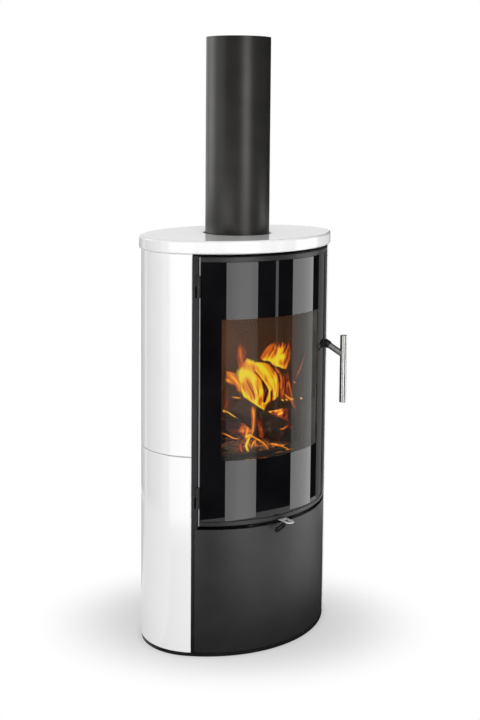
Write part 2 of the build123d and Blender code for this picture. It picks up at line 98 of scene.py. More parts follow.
# ---- studio ----
SKY_LIGHT = (1.15, 0.35)
WALL_REACH = (1.15, 1.15)
CARD_REACH = (1.12, 1.12)
STRIP_REACH = (1.11, 1.11)
ON_FLOOR = (0.001, 0.001)
BELOW_TOP = (0.0, 0.93)
FLOOR_LIGHT = 0.72
SHADOW_OVAL = (0.25, 0.192)
SHADOW_REACH = (0.75, 2.05)
SHADOW_DEEPEST = 0.63
CONTACT_REACH = 0.03


# ------------------------------------------------------------------ colours and nodes
def srgb(code, alpha=1.0):
    """Linear colour from an sRGB hex code."""
    parts = [int(code[i : i + 2], 16) / 255 for i in (1, 3, 5)]
    linear = [p / 12.92 if p <= 0.04045 else ((p + 0.055) / 1.055) ** 2.4 for p in parts]
    return (*linear, alpha)


def node(tree, kind, inputs=None, **settings):
    """Adds a node: settings are its own properties, inputs are values or sockets to link."""
    made = tree.nodes.new(kind)
    for key, value in settings.items():
        setattr(made, key, value)
    for key, value in (inputs or {}).items():
        if isinstance(value, bpy.types.NodeSocket):
            tree.links.new(value, made.inputs[key])
        else:
            made.inputs[key].default_value = value
    return made


def empty_material(name):
    """Material without nodes, and its node tree."""
    made = bpy.data.materials.new(name)
    made.use_nodes = True
    made.node_tree.nodes.clear()
    return made, made.node_tree


def new_material(name, **surface):
    """Material with one Principled shader; surface gives the shader's own socket values."""
    made, tree = empty_material(name)
    sockets = {key.replace("_", " "): value for key, value in surface.items()}
    shader = node(tree, "ShaderNodeBsdfPrincipled", sockets)
    node(tree, "ShaderNodeOutputMaterial", {"Surface": shader.outputs[0]})
    place = node(tree, "ShaderNodeTexCoord").outputs["Object"]
    return made, tree, shader, place


def feed(tree, shader, **sockets):
    """Links values to inputs of the shader, an underscore standing for a space in their names."""
    for key, value in sockets.items():
        tree.links.new(value, shader.inputs[key.replace("_", " ")])


def stretched(tree, place, scale):
    """Coordinates scaled on each axis, as for grain that runs one way."""
    return node(tree, "ShaderNodeMapping", {"Vector": place, "Scale": scale}).outputs[0]


def noise(tree, place, size, detail=2.0, roughness=0.5, distortion=0.0):
    """Cloudy pattern with blobs of this size in metres."""
    settings = {"Vector": place, "Scale": 1 / size, "Detail": detail, "Roughness": roughness,
                "Distortion": distortion}
    return node(tree, "ShaderNodeTexNoise", settings).outputs[0]


def between(tree, value, low, high, to_low=0.0, to_high=1.0):
    """Maps value from low..high onto to_low..to_high, smoothly and clamped."""
    settings = {"Value": value, 1: low, 2: high, 3: to_low, 4: to_high}
    return node(tree, "ShaderNodeMapRange", settings, interpolation_type="SMOOTHSTEP").outputs[0]


def blend_colour(tree, factor, first, second):
    """Colour that goes from first to second with the factor, each a hex code or a socket."""
    first, second = (srgb(end) if isinstance(end, str) else end for end in (first, second))
    return node(tree, "ShaderNodeMix", {0: factor, 6: first, 7: second}, data_type="RGBA").outputs[2]


def sums(tree, operation, first, second):
    """Plain arithmetic on two values."""
    return node(tree, "ShaderNodeMath", {0: first, 1: second}, operation=operation).outputs[0]


def relief(tree, height, depth, strength=1.0, under=None):
    """Bump of this depth in metres."""
    settings = {"Height": height, "Distance": depth, "Strength": strength}
    if under is not None:
        settings["Normal"] = under
    return node(tree, "ShaderNodeBump", settings).outputs[0]


# ------------------------------------------------------------------ meshes
def arc(angle, offset):
    """Plan point on the front arc: x = (R + offset) sin a, y = centre - (R + offset) cos a."""
    turn = np.radians(angle)
    reach = ARC_RADIUS + offset
    return reach * np.sin(turn), ARC_CENTRE_Y - reach * np.cos(turn)


def mesh_object(name, points, faces, material, patch=None, sharp=None):
    """Smooth mesh; patch gives each point its place in the UV map, sharp is the angle of hard edges."""
    mesh = bpy.data.meshes.new(name)
    mesh.from_pydata(points.tolist(), [], faces)
    if patch is not None:
        corners = np.empty(len(mesh.loops), dtype=np.int32)
        mesh.loops.foreach_get("vertex_index", corners)
        layer = mesh.uv_layers.new(name="along_and_across")
        layer.data.foreach_set("uv", patch[corners].astype(np.float32).ravel())
    mesh.polygons.foreach_set("use_smooth", np.ones(len(mesh.polygons), dtype=bool))
    if sharp is not None:
        mesh.set_sharp_from_angle(angle=math.radians(sharp))
    mesh.materials.append(material)
    made = bpy.data.objects.new(name, mesh)
    bpy.context.scene.collection.objects.link(made)
    return made


def grid_object(name, points, material, around=True, patch=None, sharp=None):
    """Mesh from a grid of points, rows along the shape and columns around it.

    around joins the last column to the first and closes the first and last rows by one polygon each.
    """
    rows, columns = points.shape[:2]
    index = np.arange(rows * columns).reshape(rows, columns)
    if around:
        index = np.concatenate([index, index[:, :1]], axis=1)
    quads = np.stack([index[:-1, :-1], index[:-1, 1:], index[1:, 1:], index[1:, :-1]], axis=-1)
    faces = quads.reshape(-1, 4).tolist()
    if around:
        faces.append(index[0, -2::-1].tolist())
        faces.append(index[-1, :-1].tolist())
    flat = None if patch is None else patch.reshape(-1, 2)
    return mesh_object(name, points.reshape(-1, 3), faces, material, flat, sharp)


def waves(u, v, seed, count, fastest):
    """Bumpy field between about -1 and 1: a sum of seeded sine waves that repeat in u after a full turn."""
    draw = np.random.default_rng(seed)
    total = np.zeros(np.broadcast(u, v).shape)
    for _ in range(count):
        turns = draw.integers(1, fastest + 1)
        run = draw.uniform(-fastest, fastest)
        phase = draw.uniform(0, 2 * np.pi)
        total = total + np.sin(turns * u + run * v + phase) / math.sqrt(count)
    return total


# ------------------------------------------------------------------ door glass
def curved_pane(name, angles, heights, filled, bevel, material):
    """Curved sheet of glass from a grid of angles and heights, of which only the filled cells are glass.

    Each filled cell has a front face on the arc at the glass's front offset and a back face at its
    back offset, a wall closes it wherever the next cell is empty, and the outermost front line is
    set back by the bevel.
    """
    rows, columns = len(heights), len(angles)
    front = np.full((rows, columns), GLASS_FACE)
    front[[0, -1], :] -= bevel
    front[:, [0, -1]] = GLASS_FACE - bevel
    layers = []
    for offset in (front, np.full((rows, columns), GLASS_BACK)):
        x, y = arc(angles[None, :], offset)
        layers.append(np.stack([x, y, np.broadcast_to(heights[:, None], x.shape)], axis=-1).reshape(-1, 3))
    points = np.concatenate(layers)
    index = np.arange(rows * columns).reshape(rows, columns)
    behind = rows * columns
    corners = np.stack([index[:-1, :-1], index[:-1, 1:], index[1:, 1:], index[1:, :-1]], axis=-1)
    faces = [corners[filled], corners[filled][:, ::-1] + behind]
    padded = np.pad(filled, 1)
    for side, (row_step, column_step) in enumerate([(-1, 0), (0, 1), (1, 0), (0, -1)]):
        neighbour = np.roll(padded, (-row_step, -column_step), (0, 1))[1:-1, 1:-1]
        bare = filled & ~neighbour
        near, far = corners[bare][:, side], corners[bare][:, (side + 1) % 4]
        faces.append(np.stack([near, near + behind, far + behind, far], axis=-1))
    faces = np.concatenate(faces)
    used, faces = np.unique(faces, return_inverse=True)
    return mesh_object(name, points[used], faces.reshape(-1, 4).tolist(), material, sharp=30)


def steps(*stops):
    """Values through the stops (value, number of steps to the next)."""
    runs = [np.linspace(a, b, count, endpoint=False) for (a, count), (b, _) in zip(stops, stops[1:])]
    return np.concatenate(runs + [[stops[-1][0]]])


def printed_border(material):
    """The pane's black printed frame: the whole pane without its window."""
    (left, right), (low, high) = GLASS_ANGLES, GLASS_HEIGHTS
    tilt = math.degrees(GLASS_BEVEL / ARC_RADIUS)
    angles = steps((left, 1), (left + tilt, 16), (WINDOW_ANGLES[0], 96), (WINDOW_ANGLES[1], 16),
                   (right - tilt, 1), (right, 0))
    heights = steps((low, 1), (low + GLASS_BEVEL, 4), (WINDOW_HEIGHTS[0], 4), (WINDOW_HEIGHTS[1], 4),
                    (high - GLASS_BEVEL, 1), (high, 0))
    middle_angle, middle_height = (angles[1:] + angles[:-1]) / 2, (heights[1:] + heights[:-1]) / 2
    window = (middle_angle > WINDOW_ANGLES[0]) & (middle_angle < WINDOW_ANGLES[1])
    tall = (middle_height > WINDOW_HEIGHTS[0]) & (middle_height < WINDOW_HEIGHTS[1])
    hole = tall[:, None] & window[None, :]
    return curved_pane("glass_border", angles, heights, ~hole, GLASS_BEVEL, material)


def clear_pane(material):
    """The pane's clear window, a hair smaller than its hole in the printed frame."""
    slack = math.degrees(WINDOW_SEAM / ARC_RADIUS)
    angles = np.linspace(WINDOW_ANGLES[0] + slack, WINDOW_ANGLES[1] - slack, 97)
    heights = np.linspace(WINDOW_HEIGHTS[0] + WINDOW_SEAM, WINDOW_HEIGHTS[1] - WINDOW_SEAM, 5)
    return curved_pane("glass_window", angles, heights, np.ones((4, 96), dtype=bool), 0.0, material)


# ------------------------------------------------------------------ places in the photograph
def camera_axes():
    """Forward, right and up of the photograph's camera, rolled as fitted."""
    level = math.cos(VIEW_PITCH)
    forward = Vector((VIEW_SINE * level, VIEW_COSINE * level, -math.sin(VIEW_PITCH)))
    right = Vector((VIEW_COSINE, -VIEW_SINE, 0))
    up = right.cross(forward)
    right_rolled = right * math.cos(VIEW_ROLL) + up * math.sin(VIEW_ROLL)
    up_rolled = up * math.cos(VIEW_ROLL) - right * math.sin(VIEW_ROLL)
    return forward, right_rolled, up_rolled


def in_view(right, away, height):
    """Points given as millimetres to the photograph's right, away from its camera and up."""
    right, away, height = np.broadcast_arrays(right, away, height)
    x = right * VIEW_COSINE + away * VIEW_SINE
    y = away * VIEW_COSINE - right * VIEW_SINE
    return np.stack([x, y, height], axis=-1) / 1000


def on_plane(x, y, view, away):
    """Right and height in millimetres of points picked on an enlargement of the photograph.

    With (X, Y) the pixel of a point, its ray forward + (X - x0) / F right - (Y - y0) / F up is
    followed to the upright plane square to the view that lies away behind the middle of the stove.
    """
    left, top, scale = view
    forward, right, up = (np.array(axis) for axis in camera_axes())
    over = (left + np.array(x) / scale - OPTICAL_CENTRE[0]) / FOCAL_PIXELS
    under = (top + np.array(y) / scale - OPTICAL_CENTRE[1]) / FOCAL_PIXELS
    ray = forward + over[..., None] * right - under[..., None] * up
    reach = (1000 * VIEW_DISTANCE + away) / (ray @ (VIEW_SINE, VIEW_COSINE, 0))
    height = 1000 * VIEW_HEIGHT + reach * ray[..., 2]
    return np.stack([reach * (ray @ (VIEW_COSINE, -VIEW_SINE, 0)), height], axis=-1)


def picked(points, view, away):
    """Picked points as right and height in whole millimetres, kept above the hearth."""
    x, y = np.array(points).T
    return np.maximum(np.round(on_plane(x, y, view, away)), (-np.inf, LOWEST_FLAME))


def unit_length(x, y, view, away):
    """Millimetres to one unit of the enlargement, from a short step to the right."""
    step = 10
    run = on_plane(np.add(x, step), y, view, away) - on_plane(x, y, view, away)
    return np.hypot(run[..., 0], run[..., 1]) / step


def picked_path(points, away):
    """A tongue's picked points as right, height and width in millimetres, widths under 10 to a tenth."""
    x, y, width = np.array(points).T
    width = width * unit_length(x, y, TONGUE_VIEW, away)
    width = np.where(width < 10, np.round(width, 1), np.round(width))
    return np.column_stack([picked(np.stack([x, y], axis=-1), TONGUE_VIEW, away), width])


# ------------------------------------------------------------------ fire
def split_log(name, start, end, size, roll, seed, hot, material):
    """Split log: a rounded wedge section carried along a straight axis, roughened by seeded waves.

    The section's radius is size / (sum of (cos(a - n) / d) ** p) ** (1 / p) over its five flats,
    each with a normal n and a distance d, and the end rows shrink to the axis to close the log.
    """
    around = np.linspace(0, 2 * np.pi, 120, endpoint=False)
    along = np.concatenate([np.zeros(5), np.linspace(0, 1, 90), np.ones(5)])
    shrink = np.concatenate([[0.06, 0.4, 0.72, 0.9, 0.97], np.ones(90), [0.97, 0.9, 0.72, 0.4, 0.06]])
    normals = np.radians([-132, 132, -30, 0, 30])
    distances = np.array([0.82, 0.82, 1.06, 1.0, 1.06])
    power = 12
    facing = np.clip(np.cos(around[:, None] - normals), 0, None) / distances
    radius = size * (facing ** power).sum(axis=1) ** (-1 / power)
    grain = waves(around, along[:, None] * 0.8, seed, 26, 17)
    lumps = waves(around, along[:, None] * 5, seed + 1, 12, 4)
    cracks = np.abs(waves(around, along[:, None] * 34, seed + 2, 10, 3))
    reach = radius * (1 + 0.05 * lumps + 0.035 * grain - 0.06 * np.exp(-cracks * 9)) * shrink[:, None]
    start, end = np.array(start), np.array(end)
    axis = (end - start) / np.linalg.norm(end - start)
    side = np.cross([0, 0, 1], axis)
    side = side / np.linalg.norm(side)
    rise = np.cross(axis, side)
    turn = around + math.radians(roll)
    ends = (1 - shrink[:, None]) * size * 0.12 * waves(around, along[:, None], seed + 3, 8, 5)
    spine = start + along[:, None] * (end - start)
    ring = np.cos(turn)[:, None] * side + np.sin(turn)[:, None] * rise
    points = spine[:, None, :] + reach[..., None] * ring + ends[..., None] * axis
    distance = along * np.linalg.norm(end - start)
    left = np.exp(-distance / 0.02) * hot[0]
    right = np.exp(-(distance[-1] - distance) / 0.02) * hot[1]
    heat = (left + right)[:, None] * (0.75 + 0.25 * lumps)
    return keep_values(grid_object(name, points, material, sharp=60), "ember_glow", heat)


def ember_bed(material):
    """Mound of coals: height = (1 - r^2) (6 mm + 8 mm lumps) over an ellipse, hottest at its front right."""
    radius = np.linspace(1, 0.02, 70)[:, None]
    around = np.linspace(0, 2 * np.pi, 200, endpoint=False)[None, :]
    edge = 1 + 0.06 * waves(around, 0, 5, 8, 7)
    right = 52 + 86 * radius * edge * np.cos(around)
    away = -48 + 66 * radius * edge * np.sin(around)
    lumps = 1 - waves(2 * np.pi * right / 100, 0.035 * away, 6, 24, 5) ** 2
    height = 1000 * HEARTH_TOP + 0.3 + (1 - radius ** 2) * (6 + 8 * np.clip(lumps, -0.3, 1))
    heat = np.exp(-((right - 104) / 34) ** 2 - ((away + 72) / 30) ** 2) + 0.5 * np.exp(
        -((right - 36) / 30) ** 2 - ((away + 62) / 30) ** 2)
    made = grid_object("ember_bed", in_view(right, away, height), material)
    return keep_values(made, "ember_glow", heat)


def keep_values(piece, name, values):
    """Keeps a value from 0 to 1 at each point for the material to read."""
    layer = piece.data.attributes.new(name, "FLOAT", "POINT")
    layer.data.foreach_set("value", np.clip(values, 0, 1).astype(np.float32).ravel())
    return piece


def bezier(u, path):
    """Points of a cubic Bezier curve: (1-u)^3 a + 3 u (1-u)^2 b + 3 u^2 (1-u) c + u^3 d."""
    a, b, c, d = np.array(path, dtype=float)
    return (1 - u) ** 3 * a + 3 * u * (1 - u) ** 2 * b + 3 * u ** 2 * (1 - u) * c + u ** 3 * d


def flame_tongue(name, heat, away, path, seed, material):
    """Thin flame: an oval section carried along a Bezier curve in a plane square to the photograph's view.

    path holds four picked points (x, y, width); the width narrows to both ends as well.
    With u along and v around, a point is C(u) + n(u) w(u) / 2 cos v in that plane and
    away + (0.8 + 0.06 w(u)) sin v behind it, stirred by seeded waves.
    """
    u = np.linspace(0, 1, 60)[:, None]
    v = np.linspace(0, 2 * np.pi, 28, endpoint=False)[None, :]
    curve = bezier(u, picked_path(path, away))
    width = curve[:, 2:] * np.minimum(1, np.minimum(u, 1 - u) / 0.18 + 0.04) ** 0.8
    run = np.gradient(curve[:, :2], axis=0)
    step = np.hypot(run[:, :1], run[:, 1:])
    run = run / step
    across = width / 2 * np.cos(v) * (1 + 0.12 * waves(v, u * 6, seed, 6, 2))
    across = across + 0.07 * width.max() * np.sin(np.pi * u) * waves(0 * v, u * 7, seed + 2, 4, 2)
    right = curve[:, :1] + run[:, 1:] * across
    height = curve[:, 1:2] - run[:, :1] * across
    sway = 0.1 * np.minimum(width, 20) * waves(0 * v, u * 4, seed + 1, 4, 2)
    depth = away + (0.8 + 0.06 * width) * np.sin(v) + sway
    chart = np.stack(np.broadcast_arrays(np.cumsum(step, axis=0), across + CHART_STEP * (seed % 7)), axis=-1)
    tongue = grid_object(name, in_view(right, depth, height), material, patch=chart / 1000)
    middle = np.broadcast_to((1 - np.abs(np.cos(v))) * np.sin(np.pi * u) ** 0.5, across.shape)
    keep_values(tongue, "heat_level", heat * (0.45 + 0.7 * middle))
    return keep_values(tongue, "thickness", 1.5 * middle)


def flame_veil(name, shape, guides, streaks, seed, material):
    """Broad flame: a thin sheet spread between guide curves in a plane square to the photograph's view.

    shape is (distance behind the middle, bulge, heat, thickness, tearing of the tips). With u up the
    Bezier guides and v across them, a point is the straight blend at v of the two nearest guides,
    pushed back by bulge sin(pi v) and by the sheet's 1 mm of thickness. Its heat is a base plus
    amount exp(-(distance / width)^2) for each streak (amount, width, four points of a Bezier curve).
    The points of guides and streaks are picked ones (x, y).
    """
    away, bulge, heat, thickness, torn = shape
    u = np.linspace(0, 1, 150)
    v = np.linspace(0, 1, 120)
    lines = np.stack([bezier(u[:, None], picked(guide, VEIL_VIEW, away)) for guide in guides])
    place = v * (len(guides) - 1)
    first = np.minimum(place.astype(int), len(guides) - 2)
    share = (place - first)[:, None, None]
    sheet = (lines[first] * (1 - share) + lines[first + 1] * share).transpose(1, 0, 2)
    stir = waves(2 * np.pi * v[None, :], 9 * u[:, None], seed, 8, 3) * np.sin(np.pi * v)[None, :]
    sheet = sheet + 1.2 * stir[..., None]
    hot = np.full(sheet.shape[:2], float(heat))
    spread = STREAK_SPREAD * unit_length(*VEIL_SCALE_AT, VEIL_VIEW, away)
    for amount, width, *path in streaks:
        width = np.round(width * spread, 1)
        run = bezier(np.linspace(0, 1, 60)[:, None], picked(path, VEIL_VIEW, away))
        gap = np.sqrt(((sheet[:, :, None, :] - run) ** 2).sum(axis=-1)).min(axis=2)
        hot = hot + amount * np.exp(-(gap / width) ** 2)
    rim = np.minimum(v, 1 - v)[None, :] * len(guides) * 1.6
    tips = 0.09 * torn * (1 + waves(8 * np.pi * v[None, :], 0, seed + 1, 6, 3))
    ends = np.minimum(u[:, None] / 0.05, (1 - u[:, None] - tips) / (0.04 + 0.12 * torn))
    inside = np.clip(np.minimum(rim, ends), 0, 1)
    hot = hot - 0.3 * (1 - inside)
    veil = inside * thickness
    depth = away + bulge * np.sin(np.pi * v)[None, :] + 3 * stir
    half = 0.5 * np.clip(inside, 0.05, 1)
    both = [np.concatenate([front, back[:, ::-1]], axis=1) for front, back in (
        (sheet[..., 0], sheet[..., 0]), (depth - half, depth + half), (sheet[..., 1], sheet[..., 1]),
        (hot, hot), (veil, veil))]
    along = np.cumsum(np.hypot(*np.gradient(sheet, axis=0).transpose(2, 0, 1)), axis=0)
    across = np.cumsum(np.hypot(*np.gradient(sheet, axis=1).transpose(2, 0, 1)), axis=1).mean(axis=0)
    flat = np.stack(np.broadcast_arrays(along, across[None, :] + CHART_STEP * (seed % 7)), axis=-1) / 1000
    chart = np.concatenate([flat, flat[:, ::-1]], axis=1)
    made = grid_object(name, in_view(*both[:3]), material, patch=chart)
    keep_values(made, "heat_level", both[3])
    return keep_values(made, "thickness", both[4])


# ------------------------------------------------------------------ materials
def stoneware_glaze():
    """White glazed stoneware: a clear bright gloss over soft ripples in the poured glaze."""
    made, tree, shader, place = new_material("white_glazed_stoneware", Roughness=0.11, IOR=1.52)
    tone = between(tree, noise(tree, place, 0.2), 0.3, 0.7)
    feed(tree, shader, Base_Color=blend_colour(tree, tone, "#f1f0f0", "#efeeee"))
    ripple = relief(tree, noise(tree, place, 0.05, 1), 0.0006, 0.5)
    peel = relief(tree, noise(tree, place, 0.004, 2), 0.00005, 0.5, ripple)
    feed(tree, shader, Normal=peel)
    return made


def stove_paint(name, dark, light, roughness, metallic=0.0, gloss=0.5):
    """Sprayed heat-proof silicone paint on steel: satin, with a fine dry grain and faint cloudiness."""
    made, tree, shader, place = new_material(name, Metallic=metallic, IOR=1.5, Specular_IOR_Level=gloss)
    cloud = between(tree, noise(tree, place, 0.06, 3), 0.3, 0.7)
    feed(tree, shader, Base_Color=blend_colour(tree, cloud, dark, light))
    # The real grit is 0.1 mm; it is drawn coarser so that it shows.
    grain = noise(tree, place, 0.0016, 3)
    feed(tree, shader, Roughness=between(tree, grain, 0.2, 0.8, roughness - 0.05, roughness + 0.06),
         Normal=relief(tree, grain, 0.00006, 0.6))
    return made


def brushed_stainless():
    """Brushed stainless steel: fine upright scratches that draw the highlight out."""
    made, tree, shader, place = new_material("brushed_stainless_steel", Metallic=1.0)
    lines = noise(tree, stretched(tree, place, (1, 1, 0.03)), 0.0007, 3)
    feed(tree, shader, Base_Color=blend_colour(tree, between(tree, lines, 0.3, 0.7), "#a0a09e", "#acacaa"),
         Roughness=between(tree, lines, 0.2, 0.8, 0.22, 0.32),
         Normal=relief(tree, lines, 0.00001, 0.08))
    return made


def door_paint():
    """Satin black paint on the door frame, with a painted highlight as a paler grey strip along its outer
    left edge.
    """
    made, tree, shader, place = new_material("satin_door_paint", IOR=1.42)
    split = node(tree, "ShaderNodeSeparateXYZ", {0: place})
    inward = sums(tree, "SUBTRACT", ARC_CENTRE_Y, split.outputs[1])
    bearing = sums(tree, "ARCTAN2", split.outputs[0], inward)
    # Painted highlight: a thin band of bearings on the outer left lip is coloured paler grey (#86868a), as if
    # it caught the light.
    edge = between(tree, bearing, math.radians(-41.15), math.radians(-40.95), 1.0, 0.0)
    grain = noise(tree, place, 0.0016, 3)
    paint = blend_colour(tree, grain, "#1b1b1c", "#262627")
    feed(tree, shader, Base_Color=blend_colour(tree, edge, paint, "#86868a"),
         Roughness=between(tree, grain, 0.2, 0.8, 0.31, 0.42), Normal=relief(tree, grain, 0.00006, 0.6))
    return made


def bead_blasted_stainless():
    """Bead-blasted stainless steel: dull even grey without a sharp highlight."""
    made, tree, shader, place = new_material("bead_blasted_stainless_steel", Metallic=1.0)
    grain = noise(tree, place, 0.0012, 3)
    feed(tree, shader, Base_Color=blend_colour(tree, between(tree, grain, 0.3, 0.7), "#808080", "#929291"),
         Roughness=between(tree, grain, 0.2, 0.8, 0.44, 0.52),
         Normal=relief(tree, grain, 0.00004, 0.4))
    return made


def galvanised_sheet():
    """Hot-dip galvanised sheet: dull zinc with crystal patches about 12 mm across."""
    made, tree, shader, place = new_material("galvanised_sheet_steel", Metallic=0.9)
    spangle = node(tree, "ShaderNodeTexVoronoi", {"Vector": place, "Scale": 1 / 0.012}).outputs["Color"]
    tone = node(tree, "ShaderNodeSeparateColor", {"Color": spangle}).outputs[0]
    feed(tree, shader, Base_Color=blend_colour(tree, tone, "#7f8488", "#a3a8ac"),
         Roughness=between(tree, tone, 0, 1, 0.34, 0.52))
    return made


def sooted_steel():
    """Mild steel plate inside the fire: matt soot with paler ash dust."""
    made, tree, shader, place = new_material("sooted_steel_plate", Metallic=0.2)
    soot = between(tree, noise(tree, place, 0.035, 5, 0.65), 0.35, 0.7)
    feed(tree, shader, Base_Color=blend_colour(tree, soot, "#181614", "#39332e"),
         Roughness=between(tree, soot, 0, 1, 0.62, 0.88),
         Normal=relief(tree, noise(tree, place, 0.003, 4), 0.0002, 0.5))
    return made


def vermiculite_board():
    """Pressed vermiculite and fireclay: tan, with golden flakes and soot that thickens upwards."""
    made, tree, shader, place = new_material("pressed_vermiculite", Roughness=0.92)
    flakes = node(tree, "ShaderNodeTexVoronoi", {"Vector": place, "Scale": 1 / 0.0035}).outputs["Color"]
    fleck = node(tree, "ShaderNodeSeparateColor", {"Color": flakes}).outputs[1]
    board = blend_colour(tree, fleck, "#6f6048", "#a28f6d")
    height = node(tree, "ShaderNodeSeparateXYZ", {0: place}).outputs[2]
    drift = sums(tree, "ADD", height, sums(tree, "MULTIPLY", noise(tree, place, 0.08, 5, 0.6), 0.25))
    soot = between(tree, drift, 0.56, 0.78, 0.85, 0.97)
    feed(tree, shader, Base_Color=blend_colour(tree, soot, board, "#231b16"),
         Normal=relief(tree, fleck, 0.0003, 0.5))
    return made


def cast_iron():
    """Raw cast iron: sandy grain, dark grey with a trace of rust."""
    made, tree, shader, place = new_material("raw_cast_iron", Metallic=0.5, Roughness=0.62)
    rust = between(tree, noise(tree, place, 0.03, 5, 0.6), 0.5, 0.75)
    feed(tree, shader, Base_Color=blend_colour(tree, rust, "#252424", "#3c2a20"),
         Normal=relief(tree, noise(tree, place, 0.0015, 3), 0.0003, 0.6))
    return made


def glass_rope():
    """Graphite-coated glass fibre rope: braided, dull grey-black."""
    made, tree, shader, place = new_material("graphite_glass_rope", Roughness=0.85, Sheen_Weight=0.2)
    wave = {"Vector": place, "Scale": 75.0, "Distortion": 1.5, "Detail": 1.0}
    braid = node(tree, "ShaderNodeTexWave", wave, bands_direction="DIAGONAL").outputs[1]
    feed(tree, shader, Base_Color=blend_colour(tree, braid, "#131313", "#1d1d1c"),
         Normal=relief(tree, braid, 0.0003, 0.5))
    return made


def ceramic_glass():
    """Clear glass ceramic: faint amber tint, mirror-smooth faces.

    The refractive index is set low, as if coated, so that the fire shows through the reflections.
    """
    made, tree, shader, place = new_material("clear_glass_ceramic", Transmission_Weight=1.0, IOR=1.2,
                                             Roughness=0.0)
    tint = between(tree, noise(tree, place, 0.2, 1), 0.3, 0.7)
    feed(tree, shader, Base_Color=blend_colour(tree, tint, "#f4f0e8", "#efeae0"))
    return made


def printed_glass():
    """Glass ceramic with a black enamel print baked on its back: deep gloss black."""
    made, tree, shader, place = new_material("black_printed_glass_ceramic", IOR=1.52, Roughness=0.015)
    haze = between(tree, noise(tree, place, 0.15, 3), 0.35, 0.7)
    feed(tree, shader, Base_Color=blend_colour(tree, haze, "#0b0b0d", "#131214"))
    return made


def charred_wood():
    """Burning split beech: cracked charcoal, grey ash on the ridges, glowing where the fire bites."""
    made, tree, shader, place = new_material("charred_beech", Roughness=0.9)
    cells = node(tree, "ShaderNodeTexVoronoi", {"Vector": place, "Scale": 1 / 0.011, "Randomness": 0.9},
                 feature="DISTANCE_TO_EDGE").outputs[0]
    ash = between(tree, noise(tree, place, 0.02, 6, 0.7), 0.52, 0.72)
    char = blend_colour(tree, ash, "#1c1512", "#574b41")
    feed(tree, shader, Base_Color=char)
    crack = between(tree, cells, 0.0, 0.12, 1.0, 0.0)
    heat = node(tree, "ShaderNodeAttribute", attribute_name="ember_glow").outputs["Fac"]
    patches = between(tree, noise(tree, place, 0.018, 4, 0.6), 0.35, 0.65)
    glow = sums(tree, "MULTIPLY", heat, between(tree, patches, 0, 1, 0.35, 1.0))
    seams = sums(tree, "MULTIPLY", sums(tree, "MULTIPLY", crack, patches), sums(tree, "ADD", heat, 0.05))
    level = sums(tree, "ADD", glow, seams)
    ember = blend_colour(tree, between(tree, level, 0.1, 0.55), "#5e1408", "#cc4c14")
    ember = blend_colour(tree, between(tree, level, 0.5, 1.1), ember, "#f2a42c")
    feed(tree, shader, Emission_Color=ember, Emission_Strength=sums(tree, "MULTIPLY", level, 1.25),
         Normal=relief(tree, cells, 0.002, 0.8))
    return made


def glowing_coals():
    """Bed of wood coals: white-grey ash over lumps that glow orange in their gaps."""
    made, tree, shader, place = new_material("glowing_wood_coals", Roughness=0.95)
    cells = node(tree, "ShaderNodeTexVoronoi", {"Vector": place, "Scale": 1 / 0.014},
                 feature="DISTANCE_TO_EDGE").outputs[0]
    ash = between(tree, noise(tree, place, 0.012, 5, 0.7), 0.4, 0.65)
    feed(tree, shader, Base_Color=blend_colour(tree, ash, "#1a1613", "#6a625a"))
    gap = between(tree, cells, 0.02, 0.28, 1.0, 0.0)
    hot = node(tree, "ShaderNodeAttribute", attribute_name="ember_glow").outputs["Fac"]
    patches = between(tree, noise(tree, place, 0.03, 3), 0.4, 0.62)
    level = sums(tree, "MULTIPLY", sums(tree, "MULTIPLY", gap, patches), sums(tree, "ADD", hot, 0.12))
    feed(tree, shader, Emission_Color=blend_colour(tree, level, "#8a1f04", "#ffa030"),
         Emission_Strength=sums(tree, "MULTIPLY", level, 1.5), Normal=relief(tree, cells, 0.004, 0.9))
    return made


def wood_flame():
    """Wood flame: soot red through orange to yellow by heat, combed into fine streaks and thin at its rim."""
    made, tree, shader, _ = new_material("wood_flame", Base_Color=srgb("#000000"), Roughness=1.0,
                                         Specular_IOR_Level=0.0, Emission_Strength=1.0)
    chart = node(tree, "ShaderNodeUVMap", uv_map="along_and_across").outputs[0]
    heat = node(tree, "ShaderNodeAttribute", attribute_name="heat_level").outputs["Fac"]
    thickness = node(tree, "ShaderNodeAttribute", attribute_name="thickness").outputs["Fac"]
    combed = noise(tree, stretched(tree, chart, (0.13, 1, 1)), 0.0055, 3, 0.5, 0.5)
    puffs = noise(tree, stretched(tree, chart, (0.45, 1, 1)), 0.018, 3, 0.5, 0.6)
    torn = sums(tree, "ADD", sums(tree, "MULTIPLY", combed, 0.85), sums(tree, "MULTIPLY", puffs, 0.75))
    torn = sums(tree, "SUBTRACT", torn, 0.8)
    level = sums(tree, "ADD", heat, torn)
    colour = srgb("#2a0e08")
    for low, high, code in ((0.02, 0.25, "#7c2c0e"), (0.25, 0.5, "#d0641a"), (0.5, 0.75, "#eea422"),
                            (0.75, 1.0, "#ecd929")):
        colour = blend_colour(tree, between(tree, level, low, high), colour, code)
    feed(tree, shader, Emission_Color=colour)
    loose = sums(tree, "MULTIPLY", torn, 1.6)
    ragged = sums(tree, "MULTIPLY", loose, sums(tree, "SUBTRACT", 1.15, thickness))
    feed(tree, shader, Alpha=between(tree, sums(tree, "ADD", thickness, ragged), 0.05, 0.95))
    return made


